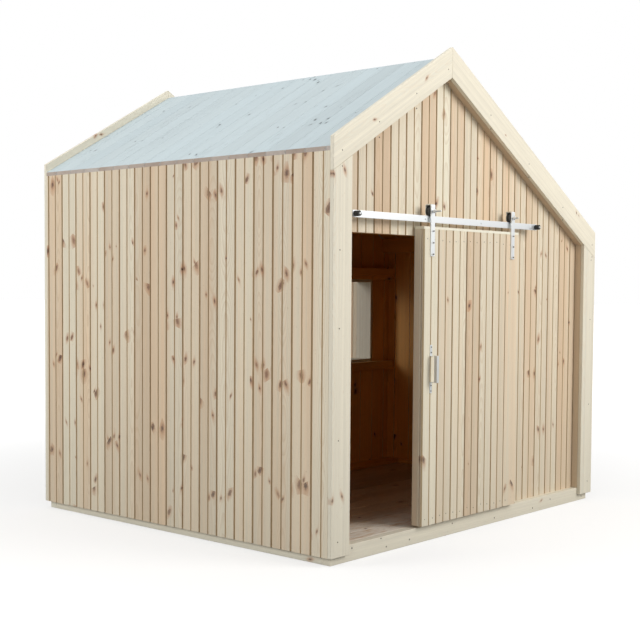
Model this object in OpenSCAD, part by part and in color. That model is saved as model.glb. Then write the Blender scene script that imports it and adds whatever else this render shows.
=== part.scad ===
// Wooden playhouse with an asymmetric gable roof, a sliding front door and a covered back porch.
// X runs along the front gable, Y runs from the front to the back, Z is up.
// The origin is on the ground in the middle of the base frame. Sizes are in millimetres.

/* [House] */
// Width over the wall frames, without the side boards
frame_w = 2150; // [2000:10:2600]
// Depth from the front frame face to the back frame face
frame_l = 1900; // [1700:10:2400]
// Height of the gable boards' peak above the ground
peak_h = 2236; // [2150:2:2700]
// Distance of the ridge from the left outer face
ridge_in = 825; // [700:5:1000]
// Roof pitch in degrees
pitch = 30; // [25:1:32]
// Depth of the room from the front frame face to the rear wall's inner face
room_l = 1374; // [1100:2:1500]

/* [Boards and timbers] */
// Thickness of the wall boards
clad_t = 20; // [16:1:25]
// Height of the side boards' lower edge above the ground
clad_lift = 35; // [25:1:50]
// Thickness of the corner boards and gable boards
trim_t = 20; // [16:1:25]
// Width of the corner boards and gable boards
trim_w = 120; // [110:1:145]
// Thickness of the roof boards
roof_t = 16; // [14:1:22]
// Plumb drop from the gable board's top edge to the roof's surface
roof_drop = 41; // [20:1:55]
// Thickness of the floor boards
floor_t = 20; // [18:1:28]
// Width of the framing timbers
timber_w = 45; // [40:1:60]
// Height of the framing timbers
timber_h = 70; // [60:1:95]
// Set-back of the gable boards behind the frame face
setback = 34; // [30:1:60]
// Height of the ridge beam
ridge_beam_h = 120; // [90:1:160]
// Height of the low edge strips on the floor
edge_h = 20; // [12:1:30]
// Width of the low edge strips along the side walls
edge_w = 50; // [45:1:80]
// Width of the low edge strip along the rear wall
edge_back_w = 120; // [80:1:160]

/* [Doorway] */
// Distance from the left frame face to the doorway
doorway_in = 155; // [150:1:250]
// Width of the doorway
doorway_w = 684; // [600:1:800]
// Height of the doorway above the floor
doorway_h = 1310; // [1100:5:1400]

/* [Window] */
// Distance from the right frame face to the window's cut
window_in = 162; // [120:1:400]
// Width of the window's cut
window_w = 504; // [300:1:700]
// Height of the window's cut
window_h = 497; // [300:1:600]
// Height of the window's cut above the floor
window_sill = 624; // [450:1:700]
// Thickness of the window's lining boards
lining_t = 16; // [12:1:22]
// Depth of the window's lining
lining_d = 110; // [70:1:130]
// Height of the rail under the window
low_rail_h = 50; // [45:1:90]

/* [Door] */
// How far the door stands open from its closed place
door_open = 490; // [0:5:600]
// Whole travel of the door along its rail
door_travel = 680; // [600:5:740]
// Overlap of the closed door past each side of the doorway
door_lap = 50; // [30:1:50]
// Overlap of the door above the doorway
door_lap_top = 40; // [25:1:60]
// Gap between the door and the wall behind it
door_clear = 5; // [5:1:10]
// Gap under the door
door_gap = 8; // [5:1:15]
// Thickness of the door's frame
door_frame_t = 34; // [25:1:36]
// Width of the door frame's stiles and rails
stile_w = 70; // [50:1:100]
// Height of the strip that caps the door
cap_h = 12; // [8:1:20]

/* [Sliding gear] */
// Height of the flat steel rail
rail_h = 30; // [25:1:45]
// Thickness of the flat steel rail
rail_t = 6; // [5:1:8]
// Gap between the door's top and the rail
rail_gap = 18; // [12:1:30]
// Length of rail past each end stop's centre
rail_end = 17; // [14:1:18]
// Distance from the rail's end to its first stand-off
standoff_in = 60; // [40:1:90]
// Diameter of the stand-off bolts
standoff_d = 12; // [8:1:16]
// Radius of the wheels
wheel_r = 24; // [20:1:30]
// Thickness of the wheels
wheel_t = 18; // [16:1:22]
// Depth of the wheel's groove
groove_depth = 4; // [3:1:6]
// Diameter of the wheel's axle
axle_d = 10; // [8:1:12]
// Width of the hanger straps
strap_w = 30; // [20:1:40]
// Thickness of the hanger straps
strap_t = 5; // [4:1:6]
// Length of the strap on the door
strap_drop = 132; // [80:1:200]
// Distance from the door's edge to a hanger's centre
hanger_in = 59; // [40:1:120]
// Radius of the end stops
stop_r = 12; // [8:1:15]
// Length of the end stops
stop_l = 24; // [20:1:30]

/* [Handle] */
// Width of the pressed steel handle
handle_w = 16; // [13:1:30]
// Thickness of the handle's steel
handle_t = 3; // [2:0.5:3.5]
// Clear finger depth between the door and the grip
finger_gap = 24; // [20:1:45]
// Depth of the grip's channel
grip_d = 16; // [8:1:20]
// Length of the grip
grip_l = 121; // [100:1:150]
// Length of each foot of the handle
foot_l = 48; // [30:1:60]
// Height of the grip's centre above the floor
grip_z = 714; // [500:2:900]

/* [Hidden] */
round_fn = 48;

// Colours of the finishes
pine = "burlywood";
pale_pine = "wheat";
timber = "tan";
dark_pine = "peru";
roof_grey = "lightsteelblue";
steel = "lightgray";
black = "dimgray";

// Faces of the frame and of the outer boards
left_x = -frame_w / 2;
right_x = frame_w / 2;
left_out = left_x - clad_t;
right_out = right_x + clad_t;
front_y = -frame_l / 2;
back_y = frame_l / 2;
ridge_x = left_out + ridge_in;
floor_z = timber_h;

// Roof lines. Each gives a height over a place x along the gable.
// What carries the roof, or stands under a gable board, stops a hair below it.
slope_gap = 0.05;
trim_plumb = trim_w / cos(pitch);
roof_plumb = roof_t / cos(pitch);
function barge_top(x) = peak_h - abs(x - ridge_x) * tan(pitch);
function barge_low(x) = barge_top(x) - trim_plumb;
function roof_top(x) = barge_top(x) - roof_drop;
function roof_under(x) = roof_top(x) - roof_plumb;
function roof_seat(x) = roof_under(x) - slope_gap;
function post_top(x) = barge_low(x) - slope_gap;

// Planes of the front and rear walls, counted from the front
gable_front = front_y + setback;
gable_inner = gable_front + clad_t;
rear_inner = front_y + room_l;
rear_outer = rear_inner + clad_t;
back_inner = back_y - setback;
edge_gap = 0.5;

// Doorway and window
doorway_x0 = left_x + doorway_in;
doorway_x1 = doorway_x0 + doorway_w;
doorway_head = floor_z + doorway_h;
window_x1 = right_x - window_in;
window_x0 = window_x1 - window_w;
window_z0 = floor_z + window_sill;
window_z1 = window_z0 + window_h;

// Door
door_w = doorway_w + 2 * door_lap;
door_closed_x0 = doorway_x0 - door_lap;
door_x0 = door_closed_x0 + door_open;
door_x1 = door_x0 + door_w;
door_z0 = floor_z + door_gap;
door_z1 = doorway_head + door_lap_top;
cap_z = door_z1 - cap_h;
door_front = gable_front - door_clear - door_frame_t - clad_t;
door_back = door_front + clad_t;

// Sliding gear
rail_z0 = door_z1 + rail_gap;
rail_z1 = rail_z0 + rail_h;
wheel_side_gap = 3;
wheel_y = door_front + wheel_side_gap + wheel_t / 2;
groove_side_gap = 1;
seat_gap = 0.3;
axle_clearance = 0.05;
axle_z = rail_z1 + wheel_r - groove_depth + seat_gap;
hanger_xs = [door_x0 + hanger_in, door_x1 - hanger_in];
stop_clearance = 13;
stop_x0 = door_closed_x0 + hanger_in - strap_w / 2 - stop_clearance - stop_r;
stop_x1 = door_closed_x0 + door_travel + door_w - hanger_in + strap_w / 2 + stop_clearance + stop_r;
rail_x0 = stop_x0 - rail_end;
rail_x1 = stop_x1 + rail_end;
standoff_count = 4;
strap_half = wheel_t / 2 + wheel_side_gap + strap_t;
bend_r = 3;

// A block given by its two corners
module block(x0, x1, y0, y1, z0, z1) {
    translate([x0, y0, z0])
        cube([x1 - x0, y1 - y0, z1 - z0]);
}

// An outline in X and Z, carried along Y from y0 to y1
module along_y(outline, y0, y1) {
    translate([0, y1, 0])
        rotate([90, 0, 0])
            linear_extrude(y1 - y0)
                polygon(outline);
}

// A board that follows the roof between two lines of heights, from x0 to x1
module roof_strip(x0, x1, high0, high1, low0, low1, y0, y1) {
    along_y([[x0, low0], [x1, low1], [x1, high1], [x0, high0]], y0, y1);
}

// A whole gable wall of boards, from the floor to the roof's underside
module gable_panel(y0, y1) {
    along_y([
        [left_x, floor_z],
        [right_x, floor_z],
        [right_x, roof_seat(right_x)],
        [ridge_x, roof_seat(ridge_x)],
        [left_x, roof_seat(left_x)]
    ], y0, y1);
}

// The part of a gable wall inside a window of X and Z
module gable_piece(y0, y1, x0, x1, z0, z1) {
    intersection() {
        gable_panel(y0, y1);
        block(x0, x1, y0 - 1, y1 + 1, z0, z1);
    }
}

module end_sills() {
    color(pale_pine) {
        block(left_x, right_x, front_y, front_y + timber_w, 0, timber_h);
        block(left_x, right_x, back_y - timber_w, back_y, 0, timber_h);
    }
}

module side_sills() {
    color(pale_pine) {
        block(left_x, left_x + timber_w, front_y + timber_w, back_y - timber_w, 0, timber_h);
        block(right_x - timber_w, right_x, front_y + timber_w, back_y - timber_w, 0, timber_h);
    }
}

module floor_joists() {
    spacing = (frame_w - timber_w) / 4;
    color(timber)
        for (i = [-1:1])
            block(i * spacing - timber_w / 2, i * spacing + timber_w / 2,
                front_y + timber_w, back_y - timber_w, 0, floor_z - floor_t);
}

module floor_boards() {
    color(timber)
        block(left_x + timber_w, right_x - timber_w,
            front_y + timber_w, back_y - timber_w, floor_z - floor_t, floor_z);
}

module floor_edges() {
    side_end = rear_inner - edge_back_w - edge_gap;
    color(dark_pine) {
        block(left_x, right_x, rear_inner - edge_back_w, rear_inner, floor_z, floor_z + edge_h);
        block(left_x, left_x + edge_w, gable_inner, side_end, floor_z, floor_z + edge_h);
        block(right_x - edge_w, right_x, gable_inner, side_end, floor_z, floor_z + edge_h);
    }
}

// A side wall of boards between two places x, under the roof
module side_wall(x0, x1) {
    roof_strip(x0, x1, roof_seat(x0), roof_seat(x1), clad_lift, clad_lift, front_y, back_y);
}

module left_wall() {
    color(pine)
        side_wall(left_out, left_x);
}

module right_wall() {
    color(pine)
        side_wall(right_x, right_out);
}

// A timber under the roof from x0 to x1, in the room and over the porch
module roof_timber(x0, x1, low) {
    for (span = [[gable_inner, rear_inner], [rear_outer, back_inner]])
        roof_strip(x0, x1, roof_seat(x0), roof_seat(x1), low, low, span[0], span[1]);
}

module top_plates() {
    color(timber) {
        roof_timber(left_x, left_x + timber_h, roof_seat(left_x) - timber_w);
        roof_timber(right_x - timber_h, right_x, roof_seat(right_x) - timber_w);
    }
}

module roof_beams() {
    half = timber_w / 2;
    left_mid = (left_x + ridge_x) / 2;
    right_third = (right_x - ridge_x) / 3;
    color(timber) {
        for (span = [[gable_inner, rear_inner], [rear_outer, back_inner]])
            along_y([
                [ridge_x - half, roof_seat(ridge_x) - ridge_beam_h],
                [ridge_x + half, roof_seat(ridge_x) - ridge_beam_h],
                [ridge_x + half, roof_seat(ridge_x + half)],
                [ridge_x, roof_seat(ridge_x)],
                [ridge_x - half, roof_seat(ridge_x - half)]
            ], span[0], span[1]);
        roof_timber(left_mid - half, left_mid + half, roof_seat(left_mid - half) - timber_h);
        for (i = [1:2])
            roof_timber(ridge_x + i * right_third - half, ridge_x + i * right_third + half,
                roof_seat(ridge_x + i * right_third + half) - timber_h);
    }
}

module front_wall_left() {
    color(pine)
        gable_piece(gable_front, gable_inner, left_x, doorway_x0, floor_z, doorway_head);
}

module front_wall_right() {
    color(pine)
        gable_piece(gable_front, gable_inner, doorway_x1, right_x, floor_z, doorway_head);
}

module front_gable() {
    color(pine)
        gable_piece(gable_front, gable_inner, left_x, right_x, doorway_head, peak_h);
}

module doorway_studs() {
    color(timber)
        for (x = [doorway_x0 - timber_w, doorway_x1])
            block(x, x + timber_w, gable_inner, gable_inner + timber_w, floor_z, doorway_head);
}

module doorway_header() {
    color(timber)
        block(doorway_x0 - timber_w, doorway_x1 + timber_w,
            gable_inner, gable_inner + timber_w, doorway_head, doorway_head + timber_h);
}

// The two corner posts of a gable frame, which reach as far in as the corner boards
module gable_posts(y0, y1) {
    inset = trim_w - clad_t;
    roof_strip(left_x, left_x + inset, post_top(left_x), post_top(left_x + inset),
        floor_z, floor_z, y0, y1);
    roof_strip(right_x - inset, right_x, post_top(right_x - inset), post_top(right_x),
        floor_z, floor_z, y0, y1);
}

// A gable rafter between the roof boards and the gable board's lower edge
module gable_rafter(x0, x1, y0, y1) {
    roof_strip(x0, x1, roof_seat(x0), roof_seat(x1), barge_low(x0), barge_low(x1), y0, y1);
}

// The two corner boards, which lap over the end of the side boards
module corner_boards(y0, y1) {
    roof_strip(left_out, left_out + trim_w, post_top(left_out), post_top(left_out + trim_w),
        clad_lift, clad_lift, y0, y1);
    roof_strip(right_out - trim_w, right_out, post_top(right_out - trim_w), post_top(right_out),
        clad_lift, clad_lift, y0, y1);
}

// A gable board from x0 to x1
module barge(x0, x1, y0, y1) {
    roof_strip(x0, x1, barge_top(x0), barge_top(x1), barge_low(x0), barge_low(x1), y0, y1);
}

module front_posts() {
    color(timber)
        gable_posts(front_y, gable_front);
}

module front_rafter_left() {
    color(timber)
        gable_rafter(left_x, ridge_x, front_y, gable_front);
}

module front_rafter_right() {
    color(timber)
        gable_rafter(ridge_x, right_x, front_y, gable_front);
}

module front_corner_boards() {
    color(pale_pine)
        corner_boards(front_y - trim_t, front_y);
}

module front_barge_left() {
    color(pale_pine)
        barge(left_out, ridge_x, front_y - trim_t, front_y);
}

module front_barge_right() {
    color(pale_pine)
        barge(ridge_x, right_out, front_y - trim_t, front_y);
}

module back_posts() {
    color(timber)
        gable_posts(back_inner, back_y);
}

module back_rafter_left() {
    color(timber)
        gable_rafter(left_x, ridge_x, back_inner, back_y);
}

module back_rafter_right() {
    color(timber)
        gable_rafter(ridge_x, right_x, back_inner, back_y);
}

module back_corner_boards() {
    color(pale_pine)
        corner_boards(back_y, back_y + trim_t);
}

module back_barge_left() {
    color(pale_pine)
        barge(left_out, ridge_x, back_y, back_y + trim_t);
}

module back_barge_right() {
    color(pale_pine)
        barge(ridge_x, right_out, back_y, back_y + trim_t);
}

module rear_wall_left() {
    color(pine)
        gable_piece(rear_inner, rear_outer, left_x, window_x0, floor_z, window_z1);
}

module rear_wall_right() {
    color(pine)
        gable_piece(rear_inner, rear_outer, window_x1, right_x, floor_z, window_z1);
}

module rear_wall_below() {
    color(pine)
        gable_piece(rear_inner, rear_outer, window_x0, window_x1, floor_z, window_z0);
}

module rear_gable() {
    color(pine)
        gable_piece(rear_inner, rear_outer, left_x, right_x, window_z1, peak_h);
}

module rear_rails() {
    color(timber) {
        block(left_x, right_x, rear_inner - timber_w, rear_inner, window_z1, window_z1 + timber_h);
        block(left_x, right_x, rear_inner - timber_w, rear_inner, window_z0 - low_rail_h, window_z0);
    }
}

module window_jambs() {
    color(pale_pine) {
        block(window_x0, window_x0 + lining_t, rear_inner, rear_inner + lining_d, window_z0, window_z1);
        block(window_x1 - lining_t, window_x1, rear_inner, rear_inner + lining_d, window_z0, window_z1);
    }
}

module window_boards() {
    color(pale_pine) {
        block(window_x0 + lining_t, window_x1 - lining_t,
            rear_inner, rear_inner + lining_d, window_z0, window_z0 + lining_t);
        block(window_x0 + lining_t, window_x1 - lining_t,
            rear_inner, rear_inner + lining_d, window_z1 - lining_t, window_z1);
    }
}

// One slope of roof boards
module roof_slope(x0, x1) {
    roof_strip(x0, x1, roof_top(x0), roof_top(x1), roof_under(x0), roof_under(x1), front_y, back_y);
}

module roof_left() {
    color(roof_grey)
        roof_slope(left_out, ridge_x);
}

module roof_right() {
    color(roof_grey)
        roof_slope(ridge_x, right_out);
}

module door_rail() {
    color(steel)
        block(rail_x0, rail_x1, wheel_y - rail_t / 2, wheel_y + rail_t / 2, rail_z0, rail_z1);
}

module rail_standoffs() {
    first = rail_x0 + standoff_in;
    spacing = (rail_x1 - rail_x0 - 2 * standoff_in) / (standoff_count - 1);
    standoff_l = gable_front - (wheel_y + rail_t / 2);
    color(steel)
        for (i = [0:standoff_count - 1])
            translate([first + i * spacing, gable_front, (rail_z0 + rail_z1) / 2])
                rotate([90, 0, 0])
                    cylinder(h = standoff_l, d = standoff_d, $fn = round_fn);
}

module rail_stops() {
    color(black)
        for (x = [stop_x0, stop_x1])
            translate([x, wheel_y - rail_t / 2, (rail_z0 + rail_z1) / 2])
                rotate([90, 0, 0])
                    cylinder(h = stop_l, r = stop_r, $fn = round_fn);
}

module door_boards() {
    color(pine)
        block(door_x0, door_x1, door_front, door_back, door_z0, cap_z);
}

module door_stiles() {
    color(timber)
        for (x = [door_x0, door_x1 - stile_w])
            block(x, x + stile_w, door_back, door_back + door_frame_t, door_z0, cap_z);
}

module door_rails() {
    middle = (door_z0 + cap_z) / 2;
    color(timber)
        for (z = [door_z0, middle - stile_w / 2, cap_z - stile_w])
            block(door_x0 + stile_w, door_x1 - stile_w,
                door_back, door_back + door_frame_t, z, z + stile_w);
}

module door_cap() {
    color(pale_pine)
        block(door_x0, door_x1, door_front, door_back + door_frame_t, cap_z, door_z1);
}

// The rounded top of a bent strap: half its width, the height over the axle's middle and its corners
module strap_top(half, high, corner) {
    translate([-half, 0])
        square([2 * half, high - corner]);
    translate([corner - half, 0])
        square([2 * (half - corner), high]);
    for (side = [-1, 1])
        translate([side * (half - corner), high - corner])
            circle(r = corner, $fn = round_fn);
}

// A flat strap that is bolted to the door, bends over the wheel and holds the axle on both sides
module hanger(x) {
    inner = strap_half - strap_t;
    top = wheel_r + wheel_side_gap;
    axle_over = 5;
    strap_low = door_z1 - strap_drop;
    translate([x - strap_w / 2, 0, 0]) {
        block(0, strap_w, wheel_y - strap_half, wheel_y - inner, strap_low, axle_z);
        block(0, strap_w, wheel_y + inner, wheel_y + strap_half, axle_z - strap_w / 2, axle_z);
        translate([0, wheel_y, axle_z])
            rotate([90, 0, 90])
                linear_extrude(strap_w)
                    difference() {
                        strap_top(strap_half, top + strap_t, bend_r + strap_t);
                        strap_top(inner, top, bend_r);
                    }
    }
    translate([x, wheel_y + strap_half + axle_over, axle_z])
        rotate([90, 0, 0])
            cylinder(h = 2 * (strap_half + axle_over), d = axle_d, $fn = round_fn);
}

module hangers() {
    color(steel)
        for (x = hanger_xs)
            hanger(x);
}

// A grooved wheel that rolls on the rail's top edge
module wheel(x) {
    groove_w = rail_t + 2 * groove_side_gap;
    half = wheel_t / 2;
    root = wheel_r - groove_depth;
    bore = axle_d / 2 + axle_clearance;
    translate([x, wheel_y, axle_z])
        rotate([90, 0, 0])
            rotate_extrude($fn = 2 * round_fn)
                polygon([
                    [bore, -half], [wheel_r, -half], [wheel_r, -groove_w / 2], [root, -groove_w / 2],
                    [root, groove_w / 2], [wheel_r, groove_w / 2], [wheel_r, half], [bore, half]
                ]);
}

module wheel_left() {
    color(black)
        wheel(hanger_xs[0]);
}

module wheel_right() {
    color(black)
        wheel(hanger_xs[1]);
}

// A pressed handle: two feet on the door, two arms and a grip that is a channel open to the door
module handle() {
    x0 = hanger_xs[0] - handle_w / 2;
    x1 = x0 + handle_w;
    grip_low = floor_z + grip_z - grip_l / 2;
    grip_high = grip_low + grip_l;
    out = door_front - finger_gap - grip_d;
    grip_back = out + grip_d;
    color(steel) {
        block(x0, x1, door_front - handle_t, door_front, grip_low - foot_l, grip_low + handle_t);
        block(x0, x1, door_front - handle_t, door_front, grip_high - handle_t, grip_high + foot_l);
        block(x0, x1, out, door_front, grip_low, grip_low + handle_t);
        block(x0, x1, out, door_front, grip_high - handle_t, grip_high);
        difference() {
            block(x0, x1, out, grip_back, grip_low, grip_high);
            block(x0 + handle_t, x1 - handle_t, out + handle_t, grip_back + 1,
                grip_low + handle_t, grip_high - handle_t);
        }
    }
}

end_sills();
side_sills();
floor_joists();
floor_boards();
floor_edges();
left_wall();
right_wall();
top_plates();
front_wall_left();
front_wall_right();
front_gable();
doorway_studs();
doorway_header();
front_posts();
front_rafter_left();
front_rafter_right();
front_corner_boards();
front_barge_left();
front_barge_right();
back_posts();
back_rafter_left();
back_rafter_right();
back_corner_boards();
back_barge_left();
back_barge_right();
rear_wall_left();
rear_wall_right();
rear_wall_below();
rear_gable();
rear_rails();
window_jambs();
window_boards();
roof_left();
roof_right();
roof_beams();
door_rail();
rail_standoffs();
rail_stops();
door_boards();
door_stiles();
door_rails();
door_cap();
hangers();
wheel_left();
wheel_right();
handle();
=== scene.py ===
"""Wooden playhouse with a sliding front door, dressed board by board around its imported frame."""

import math
import random

import bmesh
import bpy
from mathutils import Matrix, Vector


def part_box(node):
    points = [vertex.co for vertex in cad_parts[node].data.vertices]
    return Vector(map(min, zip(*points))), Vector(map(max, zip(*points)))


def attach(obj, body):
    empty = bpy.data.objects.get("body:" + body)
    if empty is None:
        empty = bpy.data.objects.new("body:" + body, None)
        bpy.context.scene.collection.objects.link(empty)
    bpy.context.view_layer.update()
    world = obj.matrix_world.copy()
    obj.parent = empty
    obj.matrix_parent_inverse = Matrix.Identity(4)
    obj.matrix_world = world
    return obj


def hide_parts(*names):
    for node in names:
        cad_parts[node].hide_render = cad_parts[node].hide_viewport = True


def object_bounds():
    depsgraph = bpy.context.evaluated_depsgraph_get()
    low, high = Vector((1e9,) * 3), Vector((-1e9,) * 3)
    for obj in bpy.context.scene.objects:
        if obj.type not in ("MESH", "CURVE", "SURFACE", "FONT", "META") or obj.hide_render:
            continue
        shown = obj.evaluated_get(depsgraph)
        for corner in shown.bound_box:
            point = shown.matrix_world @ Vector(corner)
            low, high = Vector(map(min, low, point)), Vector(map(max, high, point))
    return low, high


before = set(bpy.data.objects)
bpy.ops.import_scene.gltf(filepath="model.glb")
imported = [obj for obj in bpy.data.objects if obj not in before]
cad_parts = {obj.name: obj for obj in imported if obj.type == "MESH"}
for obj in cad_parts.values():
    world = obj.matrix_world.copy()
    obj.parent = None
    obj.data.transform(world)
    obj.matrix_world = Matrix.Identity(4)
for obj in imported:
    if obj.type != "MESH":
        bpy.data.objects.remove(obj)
CAD_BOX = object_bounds()

bl_info = {
    "name": "Playhouse with Sliding Door",
    "version": (1, 0, 0),
    "blender": (4, 5, 0),
    "location": "View3D > Sidebar > Playhouse",
    "description": "Builds the boards, timbers, door gear and finishes of a wooden playhouse",
    "category": "Object",
}

HOUSE = "house"
DOOR = "door"
UP = Vector((0, 0, 1))
FRONT = (0, -1, 0)
TILE_SHIFT = 40.0
HEAD_TAPER = 0.82
STEEL = ("galvanised_steel", "galvanised_steel")
DARK_STEEL = ("dark_steel", "galvanised_steel")
# TIMBER gives posts, rafters and joists a darker tan that is painted shade.
TRIM = ("planed_trim", "planed_boards")
# INDOORS gives the timbers inside the house the painted shade colour.
TIMBER = ("shaded_framing_spruce", "framing")
INDOORS = ("shaded_inner_spruce", "framing")
RUBBER = ("black_rubber", "black_rubber")
WHEEL = ("black_wheel", "black_wheel")


# ---------------------------------------------------------------- sizes and colours

class PlayhouseSizes(bpy.types.PropertyGroup):
    """Sizes of the boards, grooves and fixings"""

    wall_cover: bpy.props.FloatProperty(
        name="Wall board cover", description="Visible width of one grooved wall board",
        default=0.112, min=0.06, unit="LENGTH")
    roof_cover: bpy.props.FloatProperty(
        name="Roof board cover", description="Visible width of one roof board",
        default=0.112, min=0.06, unit="LENGTH")
    floor_cover: bpy.props.FloatProperty(
        name="Floor board cover", description="Visible width of one floor board",
        default=0.112, min=0.06, unit="LENGTH")
    groove_half: bpy.props.FloatProperty(
        name="Groove half width", description="Half the width of the bevelled grooves",
        default=0.0052, min=0.001, unit="LENGTH")
    groove_depth: bpy.props.FloatProperty(
        name="Groove depth", description="Depth of the bevelled grooves",
        default=0.0072, min=0.001, unit="LENGTH")
    joint_gap: bpy.props.FloatProperty(
        name="Joint gap", description="Open gap between two boards",
        default=0.003, min=0.0002, unit="LENGTH")
    side_first: bpy.props.FloatProperty(
        name="First side joint", description="First board joint behind the front end of a side wall",
        default=-0.021, unit="LENGTH")
    gable_first: bpy.props.FloatProperty(
        name="First gable joint", description="First board joint right of the left frame face",
        default=-0.0238, unit="LENGTH")
    edge_round: bpy.props.FloatProperty(
        name="Edge rounding", description="Rounding on the planed edges",
        default=0.0025, min=0.0002, unit="LENGTH")
    nail_radius: bpy.props.FloatProperty(
        name="Nail head radius", description="Radius of a nail head",
        default=0.0026, min=0.0005, unit="LENGTH")
    screw_radius: bpy.props.FloatProperty(
        name="Screw head radius", description="Radius of a screw head",
        default=0.0042, min=0.0005, unit="LENGTH")


class PlayhouseColours(bpy.types.PropertyGroup):
    """Colours of the woods and metals"""

    spruce_pale: bpy.props.FloatVectorProperty(
        name="Pale spruce", description="Sapwood of the wall boards",
        default=(0.725, 0.645, 0.50), subtype="COLOR", size=3, min=0, max=1)
    spruce_warm: bpy.props.FloatVectorProperty(
        name="Warm spruce", description="Heartwood of the wall boards",
        default=(0.655, 0.49, 0.33), subtype="COLOR", size=3, min=0, max=1)
    spruce_line: bpy.props.FloatVectorProperty(
        name="Summer wood", description="Dark lines of the year rings",
        default=(0.48, 0.31, 0.16), subtype="COLOR", size=3, min=0, max=1)
    trim_pale: bpy.props.FloatVectorProperty(
        name="Pale trim", description="Planed corner boards, gable boards and sills",
        default=(0.765, 0.715, 0.585), subtype="COLOR", size=3, min=0, max=1)
    knot: bpy.props.FloatVectorProperty(
        name="Knot", description="Heart of the knots",
        default=(0.12, 0.052, 0.027), subtype="COLOR", size=3, min=0, max=1)
    knot_halo: bpy.props.FloatVectorProperty(
        name="Knot halo", description="Brown stain in the wood round a knot",
        default=(0.47, 0.255, 0.135), subtype="COLOR", size=3, min=0, max=1)
    trodden: bpy.props.FloatVectorProperty(
        name="Trodden wood", description="Grey, rubbed floor at the doorway",
        default=(0.72, 0.68, 0.60), subtype="COLOR", size=3, min=0, max=1)
    knot_ring: bpy.props.FloatVectorProperty(
        name="Knot ring", description="Bark ring round a dead knot",
        default=(0.05, 0.022, 0.012), subtype="COLOR", size=3, min=0, max=1)
    floor_wood: bpy.props.FloatVectorProperty(
        name="Floor wood", description="Trodden floor boards",
        default=(0.56, 0.38, 0.23), subtype="COLOR", size=3, min=0, max=1)
    # Painted shade: this browner colour on the groove slopes stands in for the shade in the grooves.
    groove_shade_wood: bpy.props.FloatVectorProperty(
        name="Groove wood", description="Browner wood on the slopes of the grooves",
        default=(0.54, 0.385, 0.22), subtype="COLOR", size=3, min=0, max=1)
    # Painted shade: this warm brown stands in for the shade inside the house and under the roof.
    shaded_inner_wood: bpy.props.FloatVectorProperty(
        name="Inner wood", description="Warm brown wood inside the house and under the roof",
        default=(0.86, 0.43, 0.105), subtype="COLOR", size=3, min=0, max=1)
    roof_stain: bpy.props.FloatVectorProperty(
        name="Roof stain", description="Blue-grey stain on the roof boards",
        default=(0.52, 0.60, 0.62), subtype="COLOR", size=3, min=0, max=1)
    roof_dark: bpy.props.FloatVectorProperty(
        name="Roof grain", description="Grain and knots under the roof stain",
        default=(0.30, 0.36, 0.38), subtype="COLOR", size=3, min=0, max=1)
    zinc: bpy.props.FloatVectorProperty(
        name="Zinc", description="Galvanised rail, straps, handle and screws",
        default=(0.40, 0.412, 0.402), subtype="COLOR", size=3, min=0, max=1)
    black: bpy.props.FloatVectorProperty(
        name="Black", description="Rubber stops and black wheels",
        default=(0.006, 0.006, 0.0065), subtype="COLOR", size=3, min=0, max=1)


# ---------------------------------------------------------------- shader expressions

def sum_node(operation, swapped=False):
    """A method that adds one maths node for a value and another number."""
    def method(self, other=0.0):
        first, second = (other, self) if swapped else (self, other)
        return self.shader.node("ShaderNodeMath", {"operation": operation}, {0: first, 1: second})
    return method


class Value:
    """A number or vector that a shader node gives, which takes part in sums."""

    def __init__(self, shader, socket):
        self.shader = shader
        self.socket = socket

    __add__ = sum_node("ADD")
    __radd__ = sum_node("ADD", True)
    __sub__ = sum_node("SUBTRACT")
    __rsub__ = sum_node("SUBTRACT", True)
    __mul__ = sum_node("MULTIPLY")
    __rmul__ = sum_node("MULTIPLY", True)
    __truediv__ = sum_node("DIVIDE")
    __pow__ = sum_node("POWER")
    fraction = sum_node("FRACT")
    size = sum_node("ABSOLUTE")
    above = sum_node("GREATER_THAN")
    most = sum_node("MAXIMUM")
    least = sum_node("MINIMUM")

    def ease(self, low, high):
        """0 below low, 1 above high, with a smooth step between them."""
        return self.shader.node(
            "ShaderNodeMapRange", {"interpolation_type": "SMOOTHSTEP"},
            {"Value": self, "From Min": low, "From Max": high})

    def bell(self, width):
        """1 at zero, falling smoothly to nothing a few widths away."""
        ratio = self / width
        return self.shader.node("ShaderNodeMath", {"operation": "EXPONENT"}, {0: ratio * ratio * -1.0})


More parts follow.
